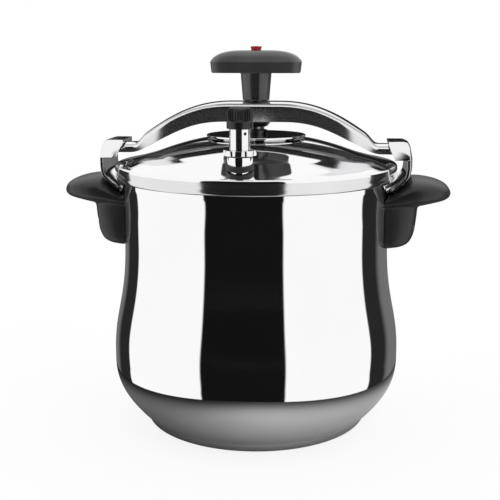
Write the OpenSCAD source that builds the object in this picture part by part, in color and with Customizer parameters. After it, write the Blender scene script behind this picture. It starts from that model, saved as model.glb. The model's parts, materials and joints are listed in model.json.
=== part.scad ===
// Belly-shaped stainless pressure cooker with a screw-down yoke.
// Origin: centre of the underside of the base. +Z is up and the two handles lie along X.
// The regulator valve is on the -Y side of the lid and the safety valve on the +Y side.
// Millimetres.

/* [Pot] */
// Outer radius of the pot at its waist, where it is straight
waist_r = 112; // [110:0.5:114]
// How far the belly stands out from the waist
belly_out = 10.6; // [8:0.2:12]
// Height of the rim that the lid's seal presses on
rim_z = 219.8; // [219.8:0.1:220.3]
// Thickness of the pot's wall
wall = 1.4; // [1.2:0.1:1.6]
// Thickness of the layered base under the pot
base_t = 7.6; // [6:0.2:8]

/* [Lid] */
// Thickness of the lid's sheet
lid_t = 1.4; // [1.2:0.1:1.5]
// Radius of the flat plate that the screw presses on
plate_r = 41.7; // [30:0.1:50]
// Thickness of that plate
plate_t = 3; // [2:0.1:3]

/* [Yoke and screw] */
// Width of the yoke across its middle
yoke_w = 44; // [38:1:50]
// Width of the yoke's two tips
tip_w = 31; // [24:1:31]
// Distance from the axis to the end of each tip
tip_x = 117; // [115:0.5:117]
// Radius of the spindle's thread
screw_r = 7; // [6:0.5:8]
// Radius of the pressure foot
foot_r = 9.5; // [8:0.5:12]

/* [Knob] */
// Length of the knob's bar
knob_l = 76; // [60:1:90]
// Depth of the knob's bar
knob_d = 27; // [20:1:27]

/* [Handles and hooks] */
// Distance from the axis to the outer edge of each handle
handle_x = 163.5; // [160:0.5:168]
// Width of each handle's wing
handle_w = 72; // [66:1:80]
// Width of each hook's upright wall
hook_w = 56; // [50:1:60]
// Thickness of the hook's sheet
hook_t = 2.5; // [2:0.1:2.5]

/* [Hidden] */
$fn = 64;
eps = 0.01;
fit = 0.05;                 // radial clearance of a running fit
valve_at = [-4, -95];       // where the regulator valve stands on the lid
safety_at = [20, 76];       // where the safety valve stands on the lid
belly_r = waist_r + belly_out;
belly_z = 61;
waist_z = 158;
mouth_r = waist_r + 2.2;
mouth_z = 206;
rim_r = waist_r + 4.5;
rim_t = 1.4;
foot_ring_r = waist_r - 16; // where the flat bottom turns up into the belly
cap_r = waist_r - 16.5;     // outer radius of the steel cap round the base
cap_t = 0.8;

skirt_r = waist_r + 7.3;    // outer radius of the lid's skirt
skirt_z = 210;
crown_z = 242.3;            // top of the lid's dome, under the centre plate
plate_z = crown_z + plate_t;
plate_step_r = 35.5;        // the plate stands on a narrower step
tail_z = plate_z + 4;       // shoulder where the spindle narrows into the foot
leg_x = waist_r + 4.4;      // outer face of the hook's lower leg

yoke_top = 273.2;
yoke_low = 257;
tip_top = 238.4;
tip_low = 230.6;
web_t = 3;                  // yoke sheet, measured upright
flange_t = 2.5;
taper_x0 = 72;              // the yoke narrows from here
taper_x1 = 104;             // to here

hood_top = 241;
hood_mouth_x = 110.4;
wall_x = waist_r + 16.3;    // inner face of the hook's upright wall
wall_low = 213.2;
wall_high = 227;
hood_w = 35;                // width of the hood's flat top
leg_low = 158;
leg_high = 198;
leg_w = 44;

screw_y = 16;               // handle screws, either side of the middle
screw_z = 172;
nib_y = 8;                  // weld nibs between hook and pot
nib_z = [165, 176];

knob_low = 273.6;
bar_low = 296;
crease_z = 304.8;
knob_top = 314.5;
socket_z = 286;             // underside of the square socket in the knob
square_top = 299;

boss_r = 9.2;               // the valve's boss narrows from here down to its foot
boss_foot_r = 7.4;
boss_top = 236.5;
boss_low = 224.2;           // a nut presses against it from inside
stem_low = 218.6;
seal_t = 1.2;
star_z = boss_top + seal_t;
star_t = 4;
star_r = 12.5;
nozzle_z = 248.5;
sleeve_r = 8;
sleeve_in = 6.3;
sleeve_z = star_z + star_t + 0.1;
cap_z = 257.5;
cap_top = 273.5;
valve_cap_r = 10;
weight_z = nozzle_z + 0.1;  // tip of the weight, just over the nozzle
weight_top = 269.5;

safety_boss_top = 233.2;
safety_boss_low = 226.6;
safety_seal_t = 0.8;
safety_z = safety_boss_top + safety_seal_t;

// Points along a cubic curve from a to d, pulled towards b and c
function curve(a, b, c, d, n) =
    [for (i = [0:n]) let (t = i / n, s = 1 - t)
        s * s * s * a + 3 * s * s * t * b + 3 * s * t * t * c + t * t * t * d];
// The same points without the first, to join on to an outline
function rest_of(p) = [for (i = [1:len(p) - 1]) p[i]];
function backwards(p) = [for (i = [len(p) - 1:-1:0]) p[i]];
function shifted(p, d) = [for (q = p) q + d];
// A left half added to a right half that starts on the middle line
function both_sides(p) = concat([for (q = backwards(p)) [-q[0], q[1]]], rest_of(p));

// ---- Pot ----

// Outside of the pot from the corner of its flat bottom up to its mouth
function pot_line() = concat(
    [[foot_ring_r, base_t]],
    curve([foot_ring_r + 3.5, base_t + 0.6], [belly_r + 1.4, base_t + 25.4],
          [belly_r, belly_z - 15.3], [belly_r, belly_z], 12),
    rest_of(curve([belly_r, belly_z], [belly_r, belly_z + 35.4],
                  [waist_r, waist_z - 53.3], [waist_r, waist_z], 14)),
    curve([waist_r, waist_z + 22], [waist_r, waist_z + 32],
          [mouth_r - 1, mouth_z - 8], [mouth_r, mouth_z], 5));

module pot_body() {
    outside = pot_line();
    color([0.80, 0.80, 0.82])
    rotate_extrude($fn = 128)
    polygon(concat(
        [[0, base_t]], outside,
        [[mouth_r, rim_z - rim_t], [rim_r, rim_z - rim_t], [rim_r, rim_z],
         [mouth_r - wall, rim_z]],
        shifted(backwards([for (i = [2:len(outside) - 1]) outside[i]]), [-wall, 0]),
        [[foot_ring_r, base_t + wall], [0, base_t + wall]]));
}

// Aluminium disc that spreads the heat
module base_core() {
    color([0.66, 0.67, 0.69])
    translate([0, 0, cap_t])
    cylinder(r = cap_r - 3.4, h = base_t - cap_t, $fn = 128);
}

// Steel cap pressed round the disc
module base_cap() {
    color([0.72, 0.72, 0.74])
    rotate_extrude($fn = 128)
    polygon([[0, 0], [cap_r - 3, 0], [cap_r - 1, 0.8], [cap_r, 2.8], [cap_r, base_t],
             [cap_r - cap_t, base_t], [cap_r - cap_t, 3.1], [cap_r - 1.6, 1.5],
             [cap_r - 3.2, cap_t], [0, cap_t]]);
}

// ---- Hooks: a bent strip with a pressed hood that the yoke's tip slides into ----

// Section of the strip, which curves round the pot
function strip_line() = [
    [leg_x - hook_t, leg_low], [leg_x, leg_low], [leg_x, leg_high],
    [wall_x + hook_t, wall_low - 1], [wall_x + hook_t, wall_high + eps],
    [wall_x, wall_high + eps], [wall_x, wall_low], [leg_x - hook_t, leg_high + 1]];

// Hood seen from the side, grown inwards by t from its outer surface
function hood_side(t) = [
    [hood_mouth_x - 5, wall_high], [wall_x + hook_t - t, wall_high],
    [wall_x + 0.4 - t, hood_top - 4], [wall_x - 1.3 - t * 0.8, hood_top - 1 - t * 0.6],
    [wall_x - 4 - t * 0.5, hood_top - t], [hood_mouth_x - 5, hood_top - t]];

// Hood seen along the yoke, with its sloping cheeks
function hood_end(t) = [
    [-hook_w / 2 + t * 1.25, wall_high], [hook_w / 2 - t * 1.25, wall_high],
    [hood_w / 2 - t * 0.4, hood_top - t], [-hood_w / 2 + t * 0.4, hood_top - t]];

module hood_block(t) {
    intersection() {
        rotate_extrude($fn = 128) polygon(hood_side(t));
        rotate([90, 0, 90]) translate([0, 0, 90]) linear_extrude(60) polygon(hood_end(t));
    }
}

module hook() {
    difference() {
        union() {
            intersection() {
                rotate_extrude($fn = 128) polygon(strip_line());
                translate([90, -hook_w / 2, 0]) cube([60, hook_w, 300]);
            }
            difference() {
                hood_block(0);
                translate([0, 0, -eps]) hood_block(hook_t);
            }
            for (side = [-1, 1], z = nib_z)
                translate([leg_x - hook_t - 4, side * nib_y, z])
                    rotate([0, 90, 0]) cylinder(r = 3, h = 4.5);
        }
        // The leg is narrower than the wall above it
        for (side = [-1, 1])
            translate([90, side * (leg_w / 2 + 25) - 25, leg_low - 1])
                cube([wall_x - 90 - 3, 50, leg_high - leg_low + 4]);
        // The cheeks slant back from the mouth of the hood
        rotate([90, 0, 0]) translate([0, 0, -50]) linear_extrude(100)
            polygon([[90, hood_top + 1], [hood_mouth_x, hood_top + 1],
                     [hood_mouth_x, hood_top - hook_t], [hood_mouth_x + 6.5, wall_high],
                     [wall_x, wall_high - 3], [wall_x, wall_high - 14],
                     [wall_x - 9, wall_high - 14], [90, wall_high - 14]]);
        cylinder(r = waist_r, h = 300, $fn = 128);
        for (side = [-1, 1])
            translate([100, side * screw_y, screw_z])
                rotate([0, 90, 0]) cylinder(r = 2.7, h = 20);
    }
}

module hook_right() { color([0.78, 0.78, 0.80]) hook(); }
module hook_left() { color([0.78, 0.78, 0.80]) rotate([0, 0, 180]) hook(); }

// ---- Handles ----

// Outline of a handle, seen from the side
function handle_line() = concat(
    [[100, leg_low - 4.5], [leg_x + 4.6, leg_low - 4], [leg_x + 12.1, leg_low - 0.5],
     [leg_x + 17, leg_low + 6.5], [leg_x + 18.2, leg_low + 20], [leg_x + 19.8, leg_low + 29]],
    curve([leg_x + 22, 187.6], [handle_x - 12, 188.6], [handle_x, 190.5], [handle_x, 197.5], 6),
    rest_of(curve([handle_x, 197.5], [handle_x - 1, 204], [handle_x - 14, 209.5],
                  [wall_x + hook_t - 0.2, 210.9], 6)),
    [[leg_x + 6, 207], [leg_x - 4, 199.5], [100, 196]]);

// Right half of the wing seen from above, ending in a round nose
function wing_line() = concat(
    [[90, -handle_w / 2], [handle_x - 38, -handle_w / 2]],
    rest_of(curve([handle_x - 38, -handle_w / 2], [handle_x - 12, -handle_w / 2],
                  [handle_x, -22], [handle_x, 0], 8)));

// Section of the wing, thinner towards its front and back edges
function wing_section() = let (half = handle_w / 2) [
    [-half, 197], [-half + 1.5, 193.5], [-half + 8, 190], [-half + 20, 187.2],
    [half - 20, 187.2], [half - 8, 190], [half - 1.5, 193.5], [half, 197],
    [half, 200], [half - 2, 204.5], [half - 9, 209], [half - 20, 211.5],
    [-half + 20, 211.5], [-half + 9, 209], [-half + 2, 204.5], [-half, 200]];

module handle() {
    body_w = 60;
    slot_w = leg_w + 0.6;
    difference() {
        intersection() {
            rotate([90, 0, 0]) translate([0, 0, -60]) linear_extrude(120)
                polygon(handle_line());
            union() {
                intersection() {
                    linear_extrude(300) {
                        polygon(concat(wing_line(), [[90, 0]]));
                        mirror([0, 1]) polygon(concat(wing_line(), [[90, 0]]));
                    }
                    rotate([90, 0, 90]) translate([0, 0, 90]) linear_extrude(90)
                        polygon(wing_section());
                }
                translate([90, -body_w / 2, 140]) cube([60, body_w, 50]);
            }
        }
        // The inner side follows the pot and leaves room for the hook
        rotate_extrude($fn = 128)
            polygon(concat([[0, base_t]], shifted(pot_line(), [0.3, 0]),
                           [[mouth_r + 0.3, 300], [0, 300]]));
        intersection() {
            cylinder(r = leg_x + 0.3, h = 300, $fn = 128);
            translate([100, -slot_w / 2, leg_low - 0.3])
                cube([60, slot_w, leg_high - leg_low + 2]);
        }
        intersection() {
            rotate_extrude($fn = 128)
                polygon([[90, leg_high - 1], [leg_x + 0.3, leg_high - 1],
                         [wall_x + hook_t + 0.1, wall_low - 1.3], [wall_x + hook_t + 0.1, 230],
                         [90, 230]]);
            translate([90, -hook_w / 2 - 0.3, 0]) cube([60, hook_w + 0.6, 300]);
        }
        for (side = [-1, 1]) translate([0, side * screw_y, screw_z]) rotate([0, 90, 0]) {
            translate([0, 0, 100]) cylinder(r = 2.8, h = 60);
            translate([0, 0, 100]) cylinder(r = 5.4, h = leg_x + 4.5 - 100);
            translate([0, 0, leg_x + 13]) cylinder(r = 5.2, h = 30);
        }
    }
}

module handle_right() { color([0.07, 0.07, 0.08]) handle(); }
module handle_left() { color([0.07, 0.07, 0.08]) rotate([0, 0, 180]) handle(); }

// Places a part at each of the four handle screws, with its +Z pointing outwards
module at_handle_screws() {
    for (turn = [0, 180], side = [-1, 1])
        rotate([0, 0, turn]) translate([0, side * screw_y, screw_z]) rotate([0, 90, 0])
            children();
}

// Nuts welded to the hook's leg
module handle_nuts() {
    color([0.70, 0.70, 0.72])
    at_handle_screws() translate([0, 0, leg_x - 0.5])
        difference() {
            cylinder(r = 4.6, h = 4, $fn = 6);
            translate([0, 0, -1]) cylinder(r = 2.5, h = 6);
        }
}

module handle_screws() {
    color([0.75, 0.75, 0.77])
    at_handle_screws() {
        translate([0, 0, leg_x - 1.5]) cylinder(r = 2.5, h = 15);
        difference() {
            translate([0, 0, leg_x + 13]) cylinder(r = 4.7, h = 3);
            for (a = [0, 90]) rotate([0, 0, a])
                translate([-2.6, -0.5, leg_x + 14.6]) cube([5.2, 1, 2]);
        }
    }
}

// ---- Lid ----

// Upper surface of the lid from the dome's flat crown to the foot of its skirt
function lid_line() = concat(
    [[0, crown_z], [37, crown_z]],
    curve([39.5, crown_z - 0.5], [52, crown_z - 2.4], [66, crown_z - 6.6],
          [83, crown_z - 13], 8),
    rest_of(curve([83, crown_z - 13], [86, crown_z - 14.1], [92, crown_z - 14.8],
                  [98, crown_z - 15.7], 4)),
    rest_of(curve([98, crown_z - 15.7], [104, crown_z - 16.6], [108, crown_z - 17.3],
                  [112.5, crown_z - 18.3], 3)),
    rest_of(curve([112.5, crown_z - 18.3], [116.8, crown_z - 19.3],
                  [skirt_r - 0.65, crown_z - 19.6], [skirt_r - 0.6, crown_z - 23.5], 4)),
    [[skirt_r - 0.4, skirt_z + 2.4]]);

// Boss that the regulator valve stands on, grown outwards by grow
module valve_boss(grow) {
    translate([valve_at[0], valve_at[1], boss_low])
        cylinder(r1 = boss_foot_r + grow, r2 = boss_r + grow, h = boss_top - boss_low);
}

module lid() {
    top = lid_line();
    color([0.80, 0.80, 0.82])
    difference() {
        union() {
            rotate_extrude($fn = 128) {
                polygon(concat(
                    top, [[skirt_r - 0.4, skirt_z + 1], [skirt_r - 0.4 - lid_t, skirt_z + 1]],
                    [for (i = [len(top) - 1:-1:1])
                        top[i] + (top[i][0] > skirt_r - 2 ? [-lid_t, -0.4]
                                                          : [-0.3, -lid_t])],
                    [[0, crown_z - lid_t]]));
                // Rolled bead at the foot of the skirt
                translate([skirt_r - 0.8, skirt_z + 1]) circle(1);
            }
            valve_boss(0);
            translate([safety_at[0], safety_at[1], safety_boss_low])
                cylinder(r = 8, h = safety_boss_top - safety_boss_low);
        }
        translate([safety_at[0], safety_at[1], safety_boss_top]) cylinder(r = 9.5, h = 10);
        translate([valve_at[0], valve_at[1], 210]) cylinder(r = 6.05, h = 40);
        translate([safety_at[0], safety_at[1], 210]) cylinder(r = 5.05, h = 40);
    }
}

module lid_centre_plate() {
    color([0.82, 0.82, 0.84])
    translate([0, 0, crown_z])
    rotate_extrude($fn = 128)
    polygon([[0, 0], [plate_step_r, 0], [plate_step_r, plate_t - 1.6],
             [plate_r - 0.3, plate_t - 1.6], [plate_r, plate_t - 1.2],
             [plate_r, plate_t - 0.4], [plate_r - 0.5, plate_t], [0, plate_t]]);
}

module lid_gasket() {
    color([0.16, 0.16, 0.17])
    rotate_extrude($fn = 128)
    polygon([[rim_r - 7, rim_z], [rim_r - 0.3, rim_z], [rim_r - 0.3, rim_z + 0.9],
             [rim_r - 2.4, rim_z + 1.9], [rim_r - 7, rim_z + 3]]);
}

// ---- Regulator valve ----

module at_valve() { translate([valve_at[0], valve_at[1], 0]) children(); }

module valve_body() {
    color([0.78, 0.72, 0.55])
    at_valve() difference() {
        union() {
            translate([0, 0, stem_low]) cylinder(r = 6, h = star_z - stem_low + eps);
            difference() {
                translate([0, 0, star_z]) cylinder(r = star_r, h = star_t);
                for (a = [0:45:315]) rotate([0, 0, a + 22.5])
                    translate([star_r + 1.4, 0, star_z - 1]) cylinder(r = 2.6, h = star_t + 2);
            }
            translate([0, 0, star_z + star_t - eps])
                cylinder(r1 = 4.4, r2 = 2.6, h = nozzle_z - star_z - star_t + eps);
        }
        translate([0, 0, stem_low - 1]) cylinder(r = 1, h = 40);
    }
}

module ring(outer, inner, low, high) {
    difference() {
        translate([0, 0, low]) cylinder(r = outer, h = high - low);
        translate([0, 0, low - 1]) cylinder(r = inner, h = high - low + 2);
    }
}

module hex_nut(outer, inner, low, high) {
    difference() {
        translate([0, 0, low]) cylinder(r = outer, h = high - low, $fn = 6);
        translate([0, 0, low - 1]) cylinder(r = inner, h = high - low + 2);
    }
}

module valve_seal() {
    color([0.12, 0.12, 0.13]) at_valve() ring(boss_r, 6.05, boss_top, star_z);
}

// Rubber ring round the foot of the valve's boss, tilted like the lid under it
module valve_skirt() {
    color([0.10, 0.10, 0.11])
    difference() {
        translate([valve_at[0], valve_at[1], 231]) rotate([8, 0, 0])
            translate([0, 0, -6]) cylinder(r = boss_foot_r + 3, h = 6);
        translate([0, 0, 0.1]) rotate_extrude($fn = 128)
            polygon(concat(lid_line(), [[skirt_r, 200], [0, 200]]));
        valve_boss(fit);
    }
}

module valve_nut() {
    color([0.75, 0.75, 0.77]) at_valve() hex_nut(8.8, 6, boss_low - 4, boss_low);
}

// Chrome tube with three steam holes
module valve_sleeve() {
    color([0.85, 0.85, 0.87])
    at_valve() difference() {
        ring(sleeve_r, sleeve_in, sleeve_z, cap_z + 4);
        for (a = [-55, 65, 185]) rotate([0, 0, a])
            translate([0, 0, cap_z - 3.3]) rotate([0, 90, 0]) cylinder(r = 1.2, h = 12);
    }
}

// Weight that closes the nozzle, narrow where the steam turns out through the holes
module valve_weight() {
    color([0.80, 0.66, 0.35])
    at_valve() {
        translate([0, 0, weight_z]) cylinder(r1 = 1.6, r2 = 3.4, h = 2);
        translate([0, 0, weight_z + 2 - eps]) cylinder(r = 3.4, h = 5.4 + 2 * eps);
        translate([0, 0, weight_z + 7.4]) cylinder(r = sleeve_in - 0.08, h = weight_top - weight_z - 7.4);
    }
}

// Wire wound from low to high, as one closed mesh
module coil(radius, wire, low, high, turns) {
    around = 14;
    sides = 6;
    steps = turns * around;
    rise = (high - low - 2 * wire) / steps;
    points = [for (i = [0:steps], j = [0:sides - 1])
        let (a = 360 * i / around, b = 360 * j / sides, r = radius + wire * cos(b))
        [r * cos(a), r * sin(a), low + wire + rise * i + wire * sin(b)]];
    walls = [for (i = [0:steps - 1], j = [0:sides - 1])
        let (k = (j + 1) % sides)
        [i * sides + j, i * sides + k, (i + 1) * sides + k, (i + 1) * sides + j]];
    ends = [[for (j = [sides - 1:-1:0]) j], [for (j = [0:sides - 1]) steps * sides + j]];
    polyhedron(points, concat(walls, ends));
}

module valve_cap() {
    color([0.06, 0.06, 0.07])
    at_valve() difference() {
        union() {
            translate([0, 0, cap_z]) cylinder(r = valve_cap_r, h = 5);
            // Ribbed grip
            translate([0, 0, cap_z + 5 - eps]) cylinder(r = valve_cap_r - 0.8, h = 7);
            for (a = [0:30:330]) rotate([0, 0, a])
                translate([valve_cap_r - 1, 0, cap_z + 5 - eps]) cylinder(r = 1, h = 8);
            translate([0, 0, cap_z + 12 - eps])
                cylinder(r1 = valve_cap_r - 0.8, r2 = 5.5, h = cap_top - cap_z - 12);
        }
        translate([0, 0, cap_z - 1]) cylinder(r = sleeve_r, h = 5);
        translate([0, 0, cap_z + 3]) cylinder(r = sleeve_in, h = weight_top + 0.1 - cap_z - 3);
    }
}

// ---- Safety valve ----

module at_safety() { translate([safety_at[0], safety_at[1], 0]) children(); }

module safety_body() {
    color([0.78, 0.72, 0.55])
    at_safety() difference() {
        union() {
            translate([0, 0, 221]) cylinder(r = 5, h = safety_z - 221 + eps);
            translate([0, 0, safety_z]) cylinder(r = 8.6, h = 3.6, $fn = 6);
        }
        translate([0, 0, 224]) cylinder(r = 3.2, h = 30);
        translate([0, 0, 220]) cylinder(r = 1.4, h = 10);
    }
}

module safety_seal() {
    color([0.12, 0.12, 0.13]) at_safety() ring(8, 5.05, safety_boss_top, safety_z);
}

module safety_nut() {
    color([0.75, 0.75, 0.77]) at_safety() hex_nut(8, 5, safety_boss_low - 3.8, safety_boss_low);
}

module safety_pin() {
    color([0.80, 0.66, 0.35])
    at_safety() {
        translate([0, 0, 224.05]) cylinder(r = 3.1, h = 1.6);
        translate([0, 0, 225.6]) cylinder(r = 1.1, h = 15.6);
    }
}

module safety_spring() {
    color([0.6, 0.6, 0.62]) at_safety() coil(2.3, 0.4, 225.75, 237.5, 8);
}

module safety_crown() {
    color([0.80, 0.80, 0.82])
    at_safety() difference() {
        translate([0, 0, safety_z + 3.6]) cylinder(r1 = 6.6, r2 = 5, h = 2.8);
        translate([0, 0, safety_z]) cylinder(r = 1.2, h = 10);
    }
}

// ---- Yoke, screw and knob ----

function yoke_top_line() = concat(
    [[0, yoke_top]],
    curve([20, yoke_top], [50, yoke_top], [70, yoke_top - 10.7], [92.8, yoke_top - 26.5], 9),
    [[taper_x1 - 4, tip_top + 0.8], [taper_x1 - 1.2, tip_top], [tip_x, tip_top]]);

function yoke_low_line() = concat(
    [[0, yoke_low]],
    curve([24, yoke_low], [50, yoke_low], [62, yoke_low - 7], [87, yoke_low - 19.7], 8),
    [[97.7, tip_low + 1.6], [taper_x1, tip_low], [tip_x, tip_low]]);

module yoke_block(grow, low, end) {
    half = yoke_w / 2 - grow;
    tip = tip_w / 2 - grow;
    upper = [for (p = yoke_top_line()) [min(p[0], end), p[1]]];
    lower = low ? shifted(yoke_low_line(), [0, -10]) : yoke_low_line();
    intersection() {
        rotate([90, 0, 0]) translate([0, 0, -60]) linear_extrude(120)
            polygon(concat(both_sides(shifted(upper, [0, low ? -web_t : 0])),
                           backwards(both_sides([for (p = lower) [min(p[0], end), p[1]]]))));
        translate([0, 0, 200]) linear_extrude(100)
            polygon([[-tip_x, -tip], [-taper_x1, -tip], [-taper_x0, -half],
                     [taper_x0, -half], [taper_x1, -tip], [tip_x, -tip],
                     [tip_x, tip], [taper_x1, tip], [taper_x0, half],
                     [-taper_x0, half], [-taper_x1, tip], [-tip_x, tip]]);
    }
}

// Pressed channel, open underneath
module yoke() {
    color([0.45, 0.45, 0.47])
    difference() {
        yoke_block(0, false, tip_x);
        yoke_block(flange_t, true, tip_x - 3);
        translate([0, 0, 240]) cylinder(r = 10, h = 50);
    }
}

// Threaded bush held in the yoke
module yoke_nut() {
    color([0.62, 0.62, 0.64])
    difference() {
        union() {
            translate([0, 0, yoke_low - 5]) cylinder(r1 = 9.6, r2 = 13.5, h = 5 + eps);
            translate([0, 0, yoke_low]) cylinder(r = 13.5, h = yoke_top - web_t - yoke_low);
            translate([0, 0, yoke_low]) cylinder(r = 10, h = yoke_top - yoke_low - 0.1);
        }
        translate([0, 0, 240]) cylinder(r = screw_r + fit, h = 50);
    }
}

module spindle() {
    color([0.70, 0.70, 0.72])
    difference() {
        union() {
            translate([0, 0, tail_z]) cylinder(r = screw_r, h = socket_z - tail_z + eps);
            translate([-5, -5, socket_z]) cube([10, 10, square_top - socket_z]);
            translate([0, 0, plate_z + 1]) cylinder(r = 4, h = tail_z - plate_z - 1 + eps);
        }
        ring(6, 3.5, plate_z + 1.8, plate_z + 2.8);
        translate([0, 0, square_top - 10]) cylinder(r = 2.5, h = 20);
    }
}

module pressure_foot() {
    color([0.30, 0.30, 0.32])
    difference() {
        translate([0, 0, plate_z]) cylinder(r = foot_r, h = 3.7);
        translate([0, 0, plate_z + 0.9]) cylinder(r = 4 + fit, h = 10);
        translate([0, 0, plate_z + 1.85]) cylinder(r = 5, h = 0.9);
    }
}

// Spring ring that keeps the foot on the spindle
module foot_clip() {
    color([0.55, 0.55, 0.57])
    difference() {
        ring(4.95, 3.6, plate_z + 1.9, plate_z + 2.7);
        translate([0, -0.6, plate_z]) cube([8, 1.2, 5]);
    }
}

// Outline of the knob's bar, seen from the front
function bar_line() = concat(
    [[0, bar_low], [knob_l / 2 - 1.3, bar_low], [knob_l / 2, crease_z]],
    rest_of(curve([knob_l / 2, crease_z], [knob_l / 2 - 4, knob_top - 3],
                  [knob_l / 2 - 16, knob_top], [0, knob_top], 10)));

module knob() {
    bar_r = 8;
    color([0.09, 0.09, 0.10])
    difference() {
        union() {
            // Bar with rounded ends
            intersection() {
                rotate([90, 0, 0]) translate([0, 0, -40]) linear_extrude(80) {
                    polygon(bar_line());
                    mirror([1, 0]) polygon(bar_line());
                }
                translate([0, 0, 290]) linear_extrude(40) {
                    square([knob_l, knob_d - 2 * bar_r], center = true);
                    square([knob_l - 2 * bar_r, knob_d], center = true);
                    for (x = [-1, 1], y = [-1, 1])
                        translate([x * (knob_l / 2 - bar_r), y * (knob_d / 2 - bar_r)])
                            circle(bar_r);
                }
            }
            translate([0, 0, knob_low]) cylinder(r1 = 11.4, r2 = 13.2, h = bar_low - knob_low + 1);
        }
        for (a = [0:90:270]) rotate([0, 0, a])
            translate([0, -14, knob_low + 2]) cylinder(r = 3.6, h = bar_low - knob_low - 2);
        translate([0, 0, knob_low - 1]) cylinder(r = screw_r, h = socket_z - knob_low + 1);
        translate([-5, -5, socket_z - eps]) cube([10, 10, square_top - socket_z + eps]);
        translate([0, 0, square_top - 1]) cylinder(r = 2.6, h = 30);
        translate([0, 0, square_top + 5]) cylinder(r = 4.3, h = 30);
    }
}

// Screw from the knob's top into the spindle
module knob_screw() {
    color([0.72, 0.72, 0.74])
    difference() {
        union() {
            translate([0, 0, square_top - 8]) cylinder(r = 2.5, h = 13 + eps);
            translate([0, 0, square_top + 5]) cylinder(r = 4.2, h = 3.2);
        }
        translate([-3, -0.6, square_top + 6.8]) cube([6, 1.2, 3]);
    }
}

// Red plug that hides the screw
module knob_button() {
    color([0.72, 0.05, 0.12])
    rotate_extrude()
    polygon([[0, square_top + 9], [3.4, square_top + 9], [4.25, square_top + 10.5],
             [4.25, knob_top - 0.1], [4.1, knob_top + 0.4], [4.75, knob_top + 2.2],
             [4.3, knob_top + 3], [2.5, knob_top + 3.3], [0, knob_top + 3.4]]);
}

pot_body();
base_core();
base_cap();
hook_left();
hook_right();
handle_left();
handle_right();
handle_nuts();
handle_screws();
lid();
lid_centre_plate();
lid_gasket();
valve_body();
valve_seal();
valve_skirt();
valve_nut();
valve_weight();
valve_sleeve();
valve_cap();
safety_body();
safety_seal();
safety_nut();
safety_pin();
safety_spring();
safety_crown();
yoke();
yoke_nut();
spindle();
pressure_foot();
foot_clip();
knob();
knob_screw();
knob_button();
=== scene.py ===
"""Looks of a stainless pressure cooker with a screw-down yoke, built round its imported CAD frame.

Lengths in the shape functions are millimetres in the part's own frame; MM turns them into metres.
"""

import json
import math

import bmesh
import bpy
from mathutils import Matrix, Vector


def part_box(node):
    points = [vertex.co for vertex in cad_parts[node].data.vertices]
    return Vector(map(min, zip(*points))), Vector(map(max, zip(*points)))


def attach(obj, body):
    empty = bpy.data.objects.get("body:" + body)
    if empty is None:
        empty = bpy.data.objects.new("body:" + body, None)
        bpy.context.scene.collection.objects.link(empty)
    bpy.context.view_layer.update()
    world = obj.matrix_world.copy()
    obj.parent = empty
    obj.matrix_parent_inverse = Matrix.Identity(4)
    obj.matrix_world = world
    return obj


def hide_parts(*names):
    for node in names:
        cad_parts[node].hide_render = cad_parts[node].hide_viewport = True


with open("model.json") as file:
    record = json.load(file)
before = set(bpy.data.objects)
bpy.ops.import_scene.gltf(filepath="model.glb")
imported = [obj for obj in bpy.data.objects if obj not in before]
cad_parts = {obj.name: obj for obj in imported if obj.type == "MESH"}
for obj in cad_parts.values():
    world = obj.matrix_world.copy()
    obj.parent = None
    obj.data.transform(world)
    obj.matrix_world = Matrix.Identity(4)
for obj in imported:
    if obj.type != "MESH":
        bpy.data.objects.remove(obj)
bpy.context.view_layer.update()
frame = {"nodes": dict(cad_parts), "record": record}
nodes = frame["nodes"]
MM = 0.001


def size_of(node):
    """Lowest and highest corner of a CAD node in millimetres."""
    low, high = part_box(node)
    return [v / MM for v in low], [v / MM for v in high]


# ---------------------------------------------------------------- driving sizes, from the frame
pot_low, pot_high = size_of("pot_body")
plate_low, plate_high = size_of("lid_centre_plate")
cap_high = size_of("base_cap")[1]
yoke_low_corner, yoke_high_corner = size_of("yoke")
knob_low_corner, knob_high_corner = size_of("knob")
handle_high = size_of("handle_right")[1]
hook_low, hook_high = size_of("hook_right")
valve_low, valve_high = size_of("valve_body")
valve_cap_low, valve_cap_high = size_of("valve_cap")
button_high = size_of("knob_button")[1]

INSET = 0.06  # keeps the round pot inside the box of the CAD pot's facets
BELLY_R = min(pot_high[0], pot_high[1]) - INSET
WAIST_R = BELLY_R - 10.6
RIM_Z = pot_high[2]
BASE_T = pot_low[2]
WALL = 1.4
VALVE_X = (valve_low[0] + valve_high[0]) / 2
VALVE_Y = (valve_low[1] + valve_high[1]) / 2


# ---------------------------------------------------------------- outlines
def bezier(a, b, c, d, steps):
    """Points of a cubic curve from a to d."""
    points = []
    for i in range(steps + 1):
        t = i / steps
        s = 1 - t
        w = (s * s * s, 3 * s * s * t, 3 * s * t * t, t * t * t)
        points.append(tuple(sum(k * p[j] for k, p in zip(w, (a, b, c, d))) for j in (0, 1)))
    return points


def arc(x, z, radius, start, end, steps):
    """Points of a circular arc, angles in degrees."""
    turns = [math.radians(start + (end - start) * i / steps) for i in range(steps + 1)]
    return [(x + radius * math.cos(a), z + radius * math.sin(a)) for a in turns]


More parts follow.
